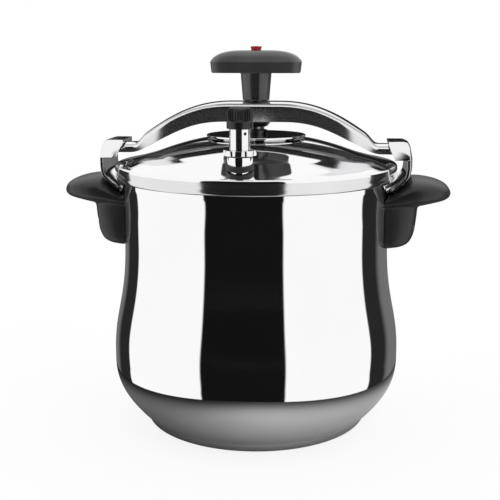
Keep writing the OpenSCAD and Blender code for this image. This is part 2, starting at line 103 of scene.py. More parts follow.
def round_corners(points, radius, steps=5, closed=True):
    """The same outline with each corner turned into a short curve."""
    count = len(points)
    out = []
    for i, p in enumerate(points):
        if not closed and i in (0, count - 1):
            out.append(p)
            continue
        before, after = points[i - 1], points[(i + 1) % count]
        r = radius[i] if isinstance(radius, (list, tuple)) else radius
        ends = []
        for q in (before, after):
            length = math.hypot(q[0] - p[0], q[1] - p[1])
            k = min(r, length * 0.49) / max(length, 1e-9)
            ends.append((p[0] + (q[0] - p[0]) * k, p[1] + (q[1] - p[1]) * k))
        for j in range(steps + 1):
            t = j / steps
            w = ((1 - t) ** 2, 2 * t * (1 - t), t * t)
            out.append(tuple(w[0] * ends[0][k] + w[1] * p[k] + w[2] * ends[1][k] for k in (0, 1)))
    return out


def through(points, steps):
    """A smooth open line through the points."""
    line = []
    padded = [points[0]] + list(points) + [points[-1]]
    for i in range(1, len(padded) - 2):
        p0, p1, p2, p3 = padded[i - 1 : i + 3]
        for j in range(steps):
            t = j / steps
            line.append(
                tuple(
                    0.5
                    * (
                        2 * p1[k]
                        + (p2[k] - p0[k]) * t
                        + (2 * p0[k] - 5 * p1[k] + 4 * p2[k] - p3[k]) * t * t
                        + (3 * p1[k] - p0[k] - 3 * p2[k] + p3[k]) * t * t * t
                    )
                    for k in (0, 1)
                )
            )
    line.append(points[-1])
    return line


def height_at(line, x):
    """Height of a left-to-right line at x."""
    for (x0, z0), (x1, z1) in zip(line, line[1:]):
        if x <= x1:
            return z0 + (z1 - z0) * (x - x0) / max(x1 - x0, 1e-9)
    return line[-1][1]


# ---------------------------------------------------------------- meshes
def piece(name, vertices, faces, sharp=30):
    """A mesh object from millimetre points, smooth apart from edges sharper than that angle."""
    mesh = bpy.data.meshes.new(name)
    mesh.from_pydata([[c * MM for c in v] for v in vertices], [], faces)
    work = bmesh.new()
    work.from_mesh(mesh)
    bmesh.ops.remove_doubles(work, verts=work.verts, dist=0.002 * MM)
    bmesh.ops.recalc_face_normals(work, faces=work.faces)
    work.to_mesh(mesh)
    work.free()
    mesh.shade_smooth()
    mesh.set_sharp_from_angle(angle=math.radians(sharp))
    obj = bpy.data.objects.new(name, mesh)
    bpy.context.scene.collection.objects.link(obj)
    return obj


def lathe(name, outline, segments=192, at=(0, 0), sharp=30, shape=None):
    """A closed outline of (radius, height) turned about an upright axis. shape(angle, r, z) may
    change the radius round the turn."""
    vertices = []
    for i in range(segments):
        a = 2 * math.pi * i / segments
        for r, z in outline:
            radius = shape(a, r, z) if shape else r
            vertices.append((at[0] + radius * math.cos(a), at[1] + radius * math.sin(a), z))
    n = len(outline)
    faces = []
    for i in range(segments):
        k = (i + 1) % segments
        for j in range(n):
            m = (j + 1) % n
            if outline[j][0] < 1e-6 and outline[m][0] < 1e-6:
                continue
            faces.append((i * n + j, k * n + j, k * n + m, i * n + m))
    return piece(name, vertices, faces, sharp)


def loft(name, sections, sharp=30):
    """A skin over equal-length closed sections, capped at both ends."""
    n = len(sections[0])
    vertices = [p for section in sections for p in section]
    faces = []
    for i in range(len(sections) - 1):
        for j in range(n):
            k = (j + 1) % n
            faces.append((i * n + j, i * n + k, (i + 1) * n + k, (i + 1) * n + j))
    last = (len(sections) - 1) * n
    faces.append(tuple(range(n - 1, -1, -1)))
    faces.append(tuple(range(last, last + n)))
    return piece(name, vertices, faces, sharp)


def slab(name, outline, low, high, plane, sharp=30):
    """An outline pushed from low to high: plane 'xz' runs along Y, 'xy' along Z, 'yz' along X."""
    place = {
        "xz": lambda p, d: (p[0], d, p[1]),
        "xy": lambda p, d: (p[0], p[1], d),
        "yz": lambda p, d: (d, p[0], p[1]),
    }[plane]
    return loft(name, [[place(p, low) for p in outline], [place(p, high) for p in outline]], sharp)


def cut(obj, tool, operation="DIFFERENCE"):
    """Applies a boolean with tool, which is then removed."""
    modifier = obj.modifiers.new("cut", "BOOLEAN")
    modifier.operation = operation
    modifier.solver = "EXACT"
    modifier.object = tool
    apply_all(obj)
    bpy.data.objects.remove(tool)
    return obj


def apply_all(obj):
    """Turns an object's modifiers into its mesh."""
    graph = bpy.context.evaluated_depsgraph_get()
    graph.update()
    mesh = bpy.data.meshes.new_from_object(obj.evaluated_get(graph))
    obj.modifiers.clear()
    obj.data = mesh
    return obj


def soften(obj, width, segments=3, angle=35):
    """Rounds the edges that are sharper than angle."""
    weld = obj.modifiers.new("weld", "WELD")
    weld.merge_threshold = 0.004 * MM
    bevel = obj.modifiers.new("soften", "BEVEL")
    bevel.width = width * MM
    bevel.segments = segments
    bevel.limit_method = "ANGLE"
    bevel.angle_limit = math.radians(angle)
    bevel.use_clamp_overlap = True
    bevel.harden_normals = True
    bevel.miter_outer = "MITER_ARC"
    return obj


# ---------------------------------------------------------------- materials
def material(name):
    made = bpy.data.materials.new(name)
    made.use_nodes = True
    tree = made.node_tree
    return made, tree, tree.nodes["Principled BSDF"]


def noise(tree, scale, detail=3.0, stretch=(1, 1, 1)):
    """A noise texture in the object's own space, stretched along the axes."""
    coords = tree.nodes.new("ShaderNodeTexCoord")
    mapping = tree.nodes.new("ShaderNodeMapping")
    mapping.inputs["Scale"].default_value = stretch
    texture = tree.nodes.new("ShaderNodeTexNoise")
    texture.inputs["Scale"].default_value = scale
    texture.inputs["Detail"].default_value = detail
    tree.links.new(coords.outputs["Object"], mapping.inputs["Vector"])
    tree.links.new(mapping.outputs["Vector"], texture.inputs["Vector"])
    return texture.outputs["Fac"]


def ranged(tree, value, low, high):
    """value from 0..1 spread over low..high."""
    spread = tree.nodes.new("ShaderNodeMapRange")
    spread.inputs["To Min"].default_value = low
    spread.inputs["To Max"].default_value = high
    tree.links.new(value, spread.inputs["Value"])
    return spread.outputs["Result"]


def tint(tree, value, dark, light):
    """A colour between dark and light."""
    ramp = tree.nodes.new("ShaderNodeValToRGB")
    ramp.color_ramp.elements[0].position = 0.3
    ramp.color_ramp.elements[1].position = 0.7
    ramp.color_ramp.elements[0].color = (*dark, 1)
    ramp.color_ramp.elements[1].color = (*light, 1)
    tree.links.new(value, ramp.inputs["Fac"])
    return ramp.outputs["Color"]


def bump(tree, shader, value, strength, distance):
    node = tree.nodes.new("ShaderNodeBump")
    node.inputs["Strength"].default_value = strength
    node.inputs["Distance"].default_value = distance * MM
    tree.links.new(value, node.inputs["Height"])
    tree.links.new(node.outputs["Normal"], shader.inputs["Normal"])


def steel(name, dark, light, rough, grain, grain_stretch=(1, 1, 1), grain_depth=0.0):
    """Metal with a faint uneven polish."""
    made, tree, shader = material(name)
    shader.inputs["Metallic"].default_value = 1.0
    polish = noise(tree, 14.0, 4.0)
    marks = noise(tree, grain, 2.0, grain_stretch)
    tree.links.new(tint(tree, polish, dark, light), shader.inputs["Base Color"])
    tree.links.new(ranged(tree, marks, rough[0], rough[1]), shader.inputs["Roughness"])
    if grain_depth:
        bump(tree, shader, marks, 0.25, grain_depth)
    return made


def plastic(name, dark, light, rough, grain, depth, coat=0.0):
    """Moulded plastic with a fine skin texture."""
    made, tree, shader = material(name)
    cloud = noise(tree, 60.0, 3.0)
    skin = noise(tree, grain, 2.0)
    tree.links.new(tint(tree, cloud, dark, light), shader.inputs["Base Color"])
    tree.links.new(ranged(tree, cloud, rough[0], rough[1]), shader.inputs["Roughness"])
    shader.inputs["Coat Weight"].default_value = coat
    shader.inputs["Coat Roughness"].default_value = 0.25
    bump(tree, shader, skin, 0.3, depth)
    return made


def grey(value):
    return (value, value, value * 1.01)


POLISHED = steel("polished_steel", grey(0.935), grey(0.955), (0.025, 0.045), 90.0, (1, 1, 8))
LID_STEEL = steel("lid_steel", grey(0.93), grey(0.955), (0.03, 0.06), 90.0, (1, 1, 8))
SKIRT_STEEL = steel("skirt_steel", grey(0.74), grey(0.82), (0.08, 0.14), 90.0, (1, 1, 8))
BASE_STEEL = steel("base_steel", grey(0.50), grey(0.58), (0.16, 0.26), 40.0, (1, 1, 60), 0.01)
HOOK_STEEL = steel("hook_steel", grey(0.84), grey(0.90), (0.06, 0.12), 120.0)
YOKE_STEEL = steel("yoke_steel", grey(0.78), grey(0.86), (0.16, 0.24), 60.0, (6, 60, 60), 0.01)
# Lighter, smoother copy of the yoke steel for the yoke's up-facing faces: the smoother polish is a
# finish, the lighter colour a painted highlight.
YOKE_TOP_PAINTED_HIGHLIGHT = steel("yoke_top", grey(0.88), grey(0.93), (0.05, 0.09), 60.0, (6, 60, 60))
# Darker, rougher copy of the yoke steel for the faces inside the channel: painted shade.
YOKE_INSIDE_PAINTED_SHADE = steel("yoke_inside_painted_shade", grey(0.45), grey(0.55), (0.3, 0.4), 60.0, (6, 60, 60), 0.01)
ZINC = steel("zinc_steel", grey(0.42), grey(0.52), (0.22, 0.38), 300.0, (1, 1, 1), 0.02)
TURNED = steel("turned_steel", grey(0.2), grey(0.28), (0.18, 0.3), 80.0, (1, 1, 60), 0.01)
FOOT_STEEL = steel("foot_steel", grey(0.05), grey(0.08), (0.25, 0.4), 200.0, (1, 1, 1), 0.02)
ALUMINIUM = steel("aluminium", grey(0.6), grey(0.68), (0.3, 0.42), 200.0, (1, 1, 1), 0.02)
VALVE_STEEL = steel("valve_steel", grey(0.86), grey(0.93), (0.05, 0.1), 150.0, (1, 1, 20))
BRASS = steel("brass", (0.70, 0.50, 0.20), (0.80, 0.60, 0.28), (0.16, 0.28), 120.0, (1, 1, 20), 0.01)
PHENOLIC = plastic("black_phenolic", grey(0.012), grey(0.018), (0.34, 0.44), 900.0, 0.02)
KNOB_BLACK = plastic("knob_phenolic", grey(0.036), grey(0.05), (0.34, 0.44), 900.0, 0.02, 0.6)
# Lighter copy of the knob plastic for the knob's upper faces: a painted sheen.
KNOB_PAINTED_SHEEN = plastic("knob_top", grey(0.10), grey(0.13), (0.30, 0.38), 900.0, 0.02, 0.6)
CAP_BLACK = plastic("valve_cap_black", grey(0.008), grey(0.012), (0.22, 0.32), 700.0, 0.01)
RUBBER = plastic("seal_rubber", grey(0.02), grey(0.03), (0.5, 0.65), 500.0, 0.02)
RED = plastic("red_plastic", (0.45, 0.006, 0.02), (0.52, 0.01, 0.03), (0.22, 0.3), 500.0, 0.005, 0.4)


def dress(obj, look, body, slot, *replaced):
    """Gives a piece its material and its place in the frame."""
    obj.data.materials.clear()
    obj.data.materials.append(look)
    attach(obj, body)
    if replaced:
        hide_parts(*replaced)
    return obj


BODY_OF = {n: body for body, members in frame["record"]["behaviour"]["bodies"].items() for n in members}


def repaint(name, look, slot, soft=0.0):
    """A CAD node that stays gets a better material. With soft, a copy with softer edges stands
    for it."""
    obj = nodes[name]
    if soft:
        copy = bpy.data.objects.new(name + "_soft", obj.data.copy())
        bpy.context.scene.collection.objects.link(copy)
        soften(copy, soft)
        apply_all(copy)
        return dress(copy, look, BODY_OF[name], slot, name)
    obj.data.materials.clear()
    obj.data.materials.append(look)
    return obj


# ---------------------------------------------------------------- pot
MOUTH_R = WAIST_R + 2.2
MOUTH_Z = 206
BELLY_Z = 61
WAIST_Z = 158
FOOT_RING_R = WAIST_R - 16
RIM_R = WAIST_R + 4.5
RIM_T = 1.4


def pot_outline():
    """Pot wall, outside then inside."""
    outside = [(FOOT_RING_R, BASE_T)]
    outside += bezier(
        (FOOT_RING_R + 3.5, BASE_T + 0.6), (BELLY_R + 1.4, BASE_T + 25.4),
        (BELLY_R, BELLY_Z - 15.3), (BELLY_R, BELLY_Z), 40)
    outside += bezier(
        (BELLY_R, BELLY_Z), (BELLY_R, BELLY_Z + 35.4),
        (WAIST_R, WAIST_Z - 53.3), (WAIST_R, WAIST_Z), 40)[1:]
    outside += bezier(
        (WAIST_R, WAIST_Z + 22), (WAIST_R, WAIST_Z + 32),
        (MOUTH_R - 1, MOUTH_Z - 8), (MOUTH_R, MOUTH_Z), 12)
    inside = [(r - WALL, z) for r, z in outside[2:]][::-1]
    rim = [(MOUTH_R, RIM_Z - RIM_T), (RIM_R, RIM_Z - RIM_T), (RIM_R, RIM_Z),
           (MOUTH_R - WALL, RIM_Z)]
    floor_line = [(FOOT_RING_R, BASE_T + WALL), (0, BASE_T + WALL), (0, BASE_T)]
    return outside + rim + inside + floor_line


def build_pot():
    pot = lathe("pot_shell", pot_outline(), 256, sharp=35)
    dress(pot, POLISHED, "pot", "polished_steel", "pot_body")
    edge = cap_high[0]
    outline = [(0, 0)]
    outline += arc(edge - 3, 3, 3, -90, 0, 8)
    outline += round_corners([(edge, 4), (edge, BASE_T), (edge - 0.8, BASE_T)], 0.3, 3, False)
    outline += [(edge - 0.8, 3.2), (edge - 3.2, 0.8), (0, 0.8)]
    cap = lathe("base_cap_shell", outline, 256, sharp=35)
    dress(cap, BASE_STEEL, "pot", "base_steel", "base_cap")
    repaint("base_core", ALUMINIUM, "aluminium_core")


# ---------------------------------------------------------------- lid
CROWN_Z = plate_low[2]
SKIRT_R = WAIST_R + 7.3
SKIRT_Z = 210
LID_T = 1.4
BOSS_LOW = size_of("valve_nut")[1][2]


def lid_outline():
    """Lid sheet: upper side from the crown to the skirt, the flat bead, then the lower side."""
    top = [(0, CROWN_Z), (38, CROWN_Z)]
    top += bezier((40, CROWN_Z), (52, CROWN_Z - 1.4), (68, CROWN_Z - 5.9),
                  (84, CROWN_Z - 11.9), 30)
    top += bezier((86, CROWN_Z - 12.6), (92, CROWN_Z - 14.4), (98, CROWN_Z - 16.1),
                  (104, CROWN_Z - 17.6), 12)
    top += bezier((104, CROWN_Z - 17.6), (108, CROWN_Z - 18.6), (111, CROWN_Z - 19.2),
                  (114.8, CROWN_Z - 20), 8)[1:]
    top += bezier((114.8, CROWN_Z - 20), (117.8, CROWN_Z - 20.6),
                  (SKIRT_R - 0.65, CROWN_Z - 20.7), (SKIRT_R - 0.6, CROWN_Z - 22.8), 14)[1:]
    skirt = SKIRT_R - 0.4
    bead = [(skirt - 0.06, SKIRT_Z + 4.6), (skirt - 0.14, SKIRT_Z + 4.2), (skirt - 0.06, SKIRT_Z + 3.8),
            (skirt, SKIRT_Z + 2.6), (skirt, SKIRT_Z + 1.2), (skirt - 0.25, SKIRT_Z + 0.4),
            (skirt - 1.0, SKIRT_Z - 0.1), (skirt - 1.6, SKIRT_Z + 0.4)]
    bottom = []
    for r, z in top[::-1]:
        steep = r > SKIRT_R - 2
        bottom.append((max(r - (LID_T if steep else 0.3), 0), z - (0.4 if steep else LID_T)))
    return top + bead + bottom


def build_lid():
    lid = lathe("lid_shell", lid_outline(), 256, sharp=40)
    dress(lid, LID_STEEL, "lid", "lid_steel", "lid")
    lid.data.materials.append(SKIRT_STEEL)
    skirt_top = CROWN_Z - 22.6
    for face in lid.data.polygons:
        if face.center.z < skirt_top * MM:
            face.material_index = 1
    low, top = BOSS_LOW, valve_seal_low
    outline = [(6.05, low), (7.2, low)]
    outline += bezier((7.2, low), (8.4, low + 2.5), (9.6, low + 6), (9.7, top - 1), 12)[1:]
    outline += [(9.4, top), (6.05, top)]
    dress(lathe("regulator_boss", outline, 96, (VALVE_X, VALVE_Y)), LID_STEEL, "lid", "lid_steel")
    low, top = CROWN_Z - 15, safety_seal_low
    outline = [(5.05, low)]
    outline += round_corners([(8, low), (8, top), (5.05, top)], 0.5, 4, False)
    dress(lathe("safety_boss", outline, 64, safety_at), LID_STEEL, "lid", "lid_steel")
    edge, top, step = plate_high[0], plate_high[2], plate_high[0] - 6.2
    outline = [(0, CROWN_Z)]
    outline += round_corners(
        [(step - 0.5, CROWN_Z), (step, CROWN_Z + 0.4), (step, top - 1.7), (step + 0.6, top - 1.5),
         (edge - 0.3, top - 1.5), (edge, top - 1.2), (edge, top - 0.4), (edge - 0.5, top),
         (edge - 2, top)], 0.25, 3, False)
    outline += [(0, top)]
    plate = lathe("centre_plate", outline, 192)
    dress(plate, LID_STEEL, "lid", "lid_steel", "lid_centre_plate")
    repaint("lid_gasket", RUBBER, "seal_rubber")


# ---------------------------------------------------------------- yoke
def yoke_lines():
    """Upper and lower line of the yoke's right half."""
    top_z, low_z = yoke_high_corner[2], yoke_high_corner[2] - 16.2
    tip_x, tip_top, tip_low = yoke_high_corner[0], 238.4, yoke_low_corner[2]
    upper = [(0, top_z)]
    upper += bezier((20, top_z), (50, top_z), (70, top_z - 10.7), (92.8, top_z - 26.5), 30)
    upper += bezier((93.8, top_z - 27.6), (97.5, tip_top + 3), (99.5, tip_top), (103, tip_top), 8)
    upper += [(tip_x, tip_top)]
    lower = [(0, low_z)]
    lower += bezier((24, low_z), (50, low_z), (62, low_z - 7), (87, low_z - 19.7), 30)
    lower += bezier((88, low_z - 20.2), (96, tip_low + 1.4), (100, tip_low), (106, tip_low), 8)
    lower += [(tip_x, tip_low)]
    return upper, lower, tip_x


def yoke_half_width(x):
    """Half the yoke's width: full in the middle, narrower towards the tips."""
    full, tip = yoke_high_corner[1], 15.5
    start, end = 70.0, 104.0
    t = min(max((abs(x) - start) / (end - start), 0), 1)
    return full + (tip - full) * t * t * (3 - 2 * t)


def yoke_section(x, upper, lower):
    """Closed section of the channel at x."""
    top, low = height_at(upper, abs(x)), height_at(lower, abs(x))
    half = yoke_half_width(x)
    thick = 2.4
    arch = 2.2  # how much lower the top's edges are than its middle
    corner = min(3.5, (top - low) * 0.4)
    outer = [(-half, low)]
    outer += arc(-half + corner, top - corner, corner, 180, 90, 8)
    outer += [(y, top) for y in (-half * 0.5, 0, half * 0.5)]
    outer += arc(half - corner, top - corner, corner, 90, 0, 8)
    outer += [(half, low)]
    outer = [(y, z - arch * (y / half) ** 2 * (z > low)) for y, z in outer]
    inner_corner = max(corner - thick, 0.6)
    top -= arch
    inner = [(half - thick, low)]
    inner += arc(half - thick - inner_corner, top - thick - inner_corner, inner_corner, 0, 90, 8)
    inner += arc(-half + thick + inner_corner, top - thick - inner_corner, inner_corner, 90, 180, 8)
    inner += [(-half + thick, low)]
    return [(x, y, z) for y, z in outer + inner]


def build_yoke():
    upper, lower, tip_x = yoke_lines()
    stations = 150
    xs = [-tip_x + 2 * tip_x * i / stations for i in range(stations + 1)]
    yoke = loft("yoke_channel", [yoke_section(x, upper, lower) for x in xs], sharp=50)
    hole = lathe("yoke_hole", [(0, 250), (9.9, 250), (9.9, 290), (0, 290)], 48)
    cut(yoke, hole)
    yoke.data.shade_smooth()
    yoke.data.set_sharp_from_angle(angle=math.radians(40))
    dress(yoke, YOKE_STEEL, "yoke", "yoke_steel", "yoke")
    yoke.data.materials.append(YOKE_INSIDE_PAINTED_SHADE)
    yoke.data.materials.append(YOKE_TOP_PAINTED_HIGHLIGHT)
    # Faces inside the channel get the copy with painted shade, up-facing faces the copy with the
    # painted highlight.
    skin = 1.2
    facing_up = 0.5
    for face in yoke.data.polygons:
        x, y, z = (c / MM for c in face.center)
        if abs(y) < yoke_half_width(x) - skin and z < height_at(upper, abs(x)) - skin:
            face.material_index = 1
        elif face.normal.z > facing_up:
            face.material_index = 2
    repaint("yoke_nut", FOOT_STEEL, "zinc_steel", 0.4)


# ---------------------------------------------------------------- knob
def superellipse(half_x, half_y, power, steps):
    """Closed rounded-rectangle outline."""
    points = []
    for i in range(steps):
        a = 2 * math.pi * i / steps
        c, s = math.cos(a), math.sin(a)
        points.append((
            half_x * math.copysign(abs(c) ** (2 / power), c),
            half_y * math.copysign(abs(s) ** (2 / power), s)))
    return points


def build_knob():
    half_l, half_d = knob_high_corner[0], knob_high_corner[1]
    top, bar_low, crease = knob_high_corner[2], 296.0, 304.8
    plan = superellipse(half_l, half_d, 5.0, 96)
    rings = []
    for scale, z in ((0.0, bar_low), (0.955, bar_low), (0.966, bar_low + 0.3),
                     (0.972, bar_low + 1.0), (0.995, crease - 0.5), (1.0, crease)):
        rings.append([(x * scale, y * scale, z) for x, y in plan])
    steps = 14
    for i in range(steps + 1):
        rho = math.cos(math.pi / 2 * i / steps) ** 0.7 if i < steps else 0.0
        z = crease + (top - crease) * (1 - rho ** 4) ** (1 / 1.5)
        rings.append([(x * rho * 0.992, y * rho * 0.985, z) for x, y in plan])
    bar = loft("knob_bar", rings, sharp=28)
    dress(bar, KNOB_BLACK, "screw", "knob_phenolic", "knob")
    bar.data.materials.append(KNOB_PAINTED_SHEEN)
    # Faces over the crease get the lighter copy, which paints a sheen on the knob's top.
    for face in bar.data.polygons:
        if face.center.z > (crease + 0.3) * MM:
            face.material_index = 1

    low = knob_low_corner[2]

    def fluted(a, r, z):
        """Four upright hollows, one of them in front."""
        if r < 1 or z < low + 1.2:
            return r
        off = abs(((a - math.pi / 2) + math.pi / 4) % (math.pi / 2) - math.pi / 4)
        width = math.radians(15.5)
        edge = min(max((width - off) / math.radians(3.5), 0), 1)
        return r - 3.4 * edge * edge * (3 - 2 * edge)

    outline = [(7, low), (10.9, low), (11.4, low + 0.5), (11.4, low + 1.6), (11.5, low + 2.2)]
    rise = bar_low + 0.5 - low - 2.2
    outline += [(11.5 + 1.7 * t / 8, low + 2.2 + rise * t / 8) for t in range(1, 9)]
    outline += [(7, bar_low + 0.5)]
    stem = lathe("knob_stem", outline, 240, sharp=40, shape=fluted)
    dress(stem, KNOB_BLACK, "screw", "knob_phenolic")

    r = button_high[0]
    z = button_high[2]
    outline = [(0, z - 5), (4.1, z - 5), (4.1, z - 2.6)]
    outline += round_corners([(4.1, z - 2.6), (r, z - 0.9), (r - 0.5, z - 0.2), (0, z)], 0.5, 4, False)
    button = lathe("red_button", outline, 64)
    dress(button, RED, "screw", "red_plastic", "knob_button")
    repaint("knob_screw", ZINC, "zinc_steel")


# ---------------------------------------------------------------- handles and hooks
def rising(points, x):
    """Height of a smooth curve through a few points at x."""
    return height_at(through(points, 6), x)


def wing_sections():
    """Rounded sections of the handle's wing from the pot out to its nose."""
    tip, half = handle_high[0], handle_high[1]
    crown = [(100, 196), (112, 199.5), (121, 205.5), (130, 210.4), (137, 211), (tip - 14, 209),
             (tip - 5, 205.4), (tip - 1.2, 201), (tip, 197.6)]
    belly = [(100, 187), (130, 187), (137, 187.7), (146, 189.6), (tip - 8, 191.6),
             (tip - 3, 193.6), (tip - 0.8, 195.6), (tip, 197.4)]
    stations = 34
    sections = []
    for i in range(stations + 1):
        x = 100 + (tip - 0.05 - 100) * math.sin(math.pi / 2 * i / stations)
        nose = max(x - (tip - 36), 0) / 36
        w = half * (1 - nose ** 2.3) ** (1 / 2.3)
        top, low = rising(crown, x), rising(belly, x)
        middle, h = (top + low) / 2, (top - low) / 2
        ring = superellipse(max(w, 0.4), max(h, 0.2), 2.5, 64)
        sections.append([(x, y, middle + z) for y, z in ring])
    return sections


def body_sections():
    """Rounded sections of the handle's body from its foot up into the wing."""
    s = WAIST_R + 4.4
    foot = hook_low[2] - 4.5
    outer = [(foot, s + 1), (foot + 0.7, s + 7), (foot + 2.8, s + 11.5), (foot + 6.5, s + 14.8),
             (foot + 15, s + 17.7), (foot + 34, s + 19.6), (foot + 44, s + 19.6)]
    sections = []
    for i in range(25):
        z = foot + 44 * (i / 24) ** 1.6
        reach = rising(outer, z)
        half = 30 - 4 * max(1 - (z - foot) / 6, 0) ** 2
        ring = superellipse(reach - 88, half, 4.5, 72)
        sections.append([(88 + x, y, z) for x, y in ring])
    return sections


def strip_path():
    """Middle of the hook's strip: distance from the axis against height."""
    leg = WAIST_R + 3.15
    wall = hook_high[0] - 1.25
    low = hook_low[2]
    return through([(leg, low), (leg, low + 16), (leg, low + 32), (leg + 0.3, low + 39),
                    (leg + 3.3, low + 44.6), (leg + 8.6, low + 49.6), (wall - 1.3, low + 55),
                    (wall - 0.1, low + 61), (wall, low + 65), (wall, low + 69.3)], 6)


def offset_line(line, distance):
    """The line moved sideways, outwards for a positive distance."""
    out = []
    for i, (x, z) in enumerate(line):
        (x0, z0), (x1, z1) = line[max(i - 1, 0)], line[min(i + 1, len(line) - 1)]
        length = max(math.hypot(x1 - x0, z1 - z0), 1e-9)
        out.append((x + (z1 - z0) / length * distance, z - (x1 - x0) / length * distance))
    return out


def round_the_pot(name, outline, reach, steps=24):
    """An outline of (distance from the axis, height) swept round the axis to both sides."""
    turns = [math.radians(-reach + 2 * reach * i / steps) for i in range(steps + 1)]
    return loft(name, [[(r * math.cos(a), r * math.sin(a), z) for r, z in outline] for a in turns])


def turned_round(obj, side):
    """Takes a right-hand piece to the left side by a half turn."""
    if side < 0:
        for v in obj.data.vertices:
            v.co.x, v.co.y = -v.co.x, -v.co.y
    return obj


def build_handle(side, node):
    grip = loft(node + "_grip", wing_sections())
    body = loft("body", body_sections())
    cut(grip, body, "UNION")
    remesh = grip.modifiers.new("melt", "REMESH")
    remesh.mode = "VOXEL"
    remesh.voxel_size = 1.2 * MM
    smooth = grip.modifiers.new("melted", "SMOOTH")
    smooth.factor = 0.5
    smooth.iterations = 10
    apply_all(grip)
    inside = lathe("inside", [(0, 100), (WAIST_R + 0.3, 100), (WAIST_R + 0.3, 192),
                              (MOUTH_R + 0.5, 197), (MOUTH_R + 0.5, 260), (0, 260)], 192)
    cut(grip, inside)
    path = [p for p in strip_path() if p[1] > hook_low[2] + 30]
    skin = offset_line(path, 1.4)
    room = round_the_pot("room", [(90, skin[0][1])] + skin + [(skin[-1][0], 240), (90, 240)], 18)
    sides = slab("sides", [(90, -28.4), (150, -28.4), (150, 28.4), (90, 28.4)], 180, 245, "xy")
    cut(room, sides, "INTERSECT")
    cut(grip, room)
    for y in (-16, 16):
        bore = slab("bore", [(y + 5.2 * math.cos(a), 172 + 5.2 * math.sin(a))
                             for a in [math.pi * i / 16 for i in range(32)]],
                    WAIST_R + 17.4, 150, "yz")
        cut(grip, bore)
    turned_round(grip, side)
    grip.data.shade_smooth()
    grip.data.set_sharp_from_angle(angle=math.radians(38))
    dress(grip, PHENOLIC, "pot", "black_phenolic", node)


def build_hook(side, node):
    """A strip that curves round the pot, and the pressed hood on top of it."""
    path = strip_path()
    half_t, half_leg, half_wall = 1.25, hook_high[1] - 6, hook_high[1]
    sections = []
    for (ro, zo), (ri, zi) in zip(offset_line(path, half_t), offset_line(path, -half_t)):
        grow = min(max((zo - hook_low[2] - 38) / 6, 0), 1)
        half = half_leg + (half_wall - half_leg) * grow * grow * (3 - 2 * grow)
        across = [-half + 2 * half * i / 16 for i in range(17)]
        outer = [(math.sqrt(ro * ro - y * y), y, zo) for y in across]
        inner = [(math.sqrt(ri * ri - y * y), y, zi) for y in across[::-1]]
        sections.append(outer + inner)
    strip = loft(node + "_strip", sections)
    soften(strip, 1.0, 3, 60)
    apply_all(strip)

    wall, top, mouth = hook_high[0], hook_high[2], WAIST_R - 1.6
    low = top - 14
    half_low, half_top = hook_high[1], 17.5

    def block(t):
        """Hood grown inwards by t."""
        side_view = [(mouth - 8, low - t), (wall - t, low - t), (wall - 2.1 - t, top - 4 - 0.4 * t),
                     (wall - 3.8 - 0.8 * t, top - 1 - 0.6 * t), (wall - 6.5 - 0.5 * t, top - t),
                     (mouth - 8, top - t)]
        made = round_the_pot("block", side_view, 20)
        end = [(-half_low + 1.25 * t, low), (half_low - 1.25 * t, low),
               (half_top - 0.4 * t, top - t), (-half_top + 0.4 * t, top - t)]
        if t:
            end = [(-half_low + t, low - t), (half_low - t, low - t)] + end[2:]
        cheeks = slab("cheeks", end, 80, 150, "yz")
        return cut(made, cheeks, "INTERSECT")

    hood = block(0)
    hood.name = node + "_hood"
    soften(hood, 2.6, 4, 15)
    apply_all(hood)
    cut(hood, block(2.5))
    front = slab("front", [(70, top + 1), (mouth, top + 1), (mouth, top - 2.5),
                           (mouth + 6.5, low - 4), (70, low - 4)], -50, 50, "xz")
    cut(hood, front)
    hood.data.shade_smooth()
    hood.data.set_sharp_from_angle(angle=math.radians(35))
    for obj in (strip, hood):
        turned_round(obj, side)
    dress(strip, HOOK_STEEL, "pot", "hook_steel", node)
    dress(hood, HOOK_STEEL, "pot", "hook_steel")


def build_hooks():
    for side, node in ((1, "hook_right"), (-1, "hook_left")):
        build_hook(side, node)
    repaint("handle_nuts", ZINC, "zinc_steel")
    repaint("handle_screws", ZINC, "zinc_steel", 0.3)


# ---------------------------------------------------------------- valves and screw
valve_seal_low = size_of("valve_seal")[0][2]
safety_low, safety_high = size_of("safety_body")
safety_at = ((safety_low[0] + safety_high[0]) / 2, (safety_low[1] + safety_high[1]) / 2)
safety_seal_low = size_of("safety_seal")[0][2]


def build_valve_cap():
    low, top = valve_cap_low[2], valve_cap_high[2]
    r = valve_cap_high[0] - VALVE_X
    band = low + 5

    def ribbed(a, radius, z):
        """Upright ribs round the grip."""
        if radius < 6.4 or z < band + 0.2:
            return radius
        fade = min((z - band - 0.2) / 0.8, 1) * min(max((radius - 6.4) / 2, 0), 1)
        return radius - 0.75 * fade * (0.5 - 0.5 * math.cos(a * 32)) ** 0.6

    outline = [(6.3, low)]
    outline += round_corners([(r - 0.4, low), (r, low + 0.5), (r, band), (r - 0.3, band + 0.6)],
                             0.4, 4, False)
    outline += [(r - 0.3, band + 0.6 + 6.4 * t / 6) for t in range(1, 7)]
    outline += arc(r - 4.3, top - 4, 4, 0, 90, 10)
    outline += [(r - 6, top), (0, top), (0, top - 3.4), (6.3, top - 3.4)]
    cap = lathe("regulator_cap", outline, 288, (VALVE_X, VALVE_Y), 45, ribbed)
    dress(cap, CAP_BLACK, "regulator_head", "valve_cap_black", "valve_cap")


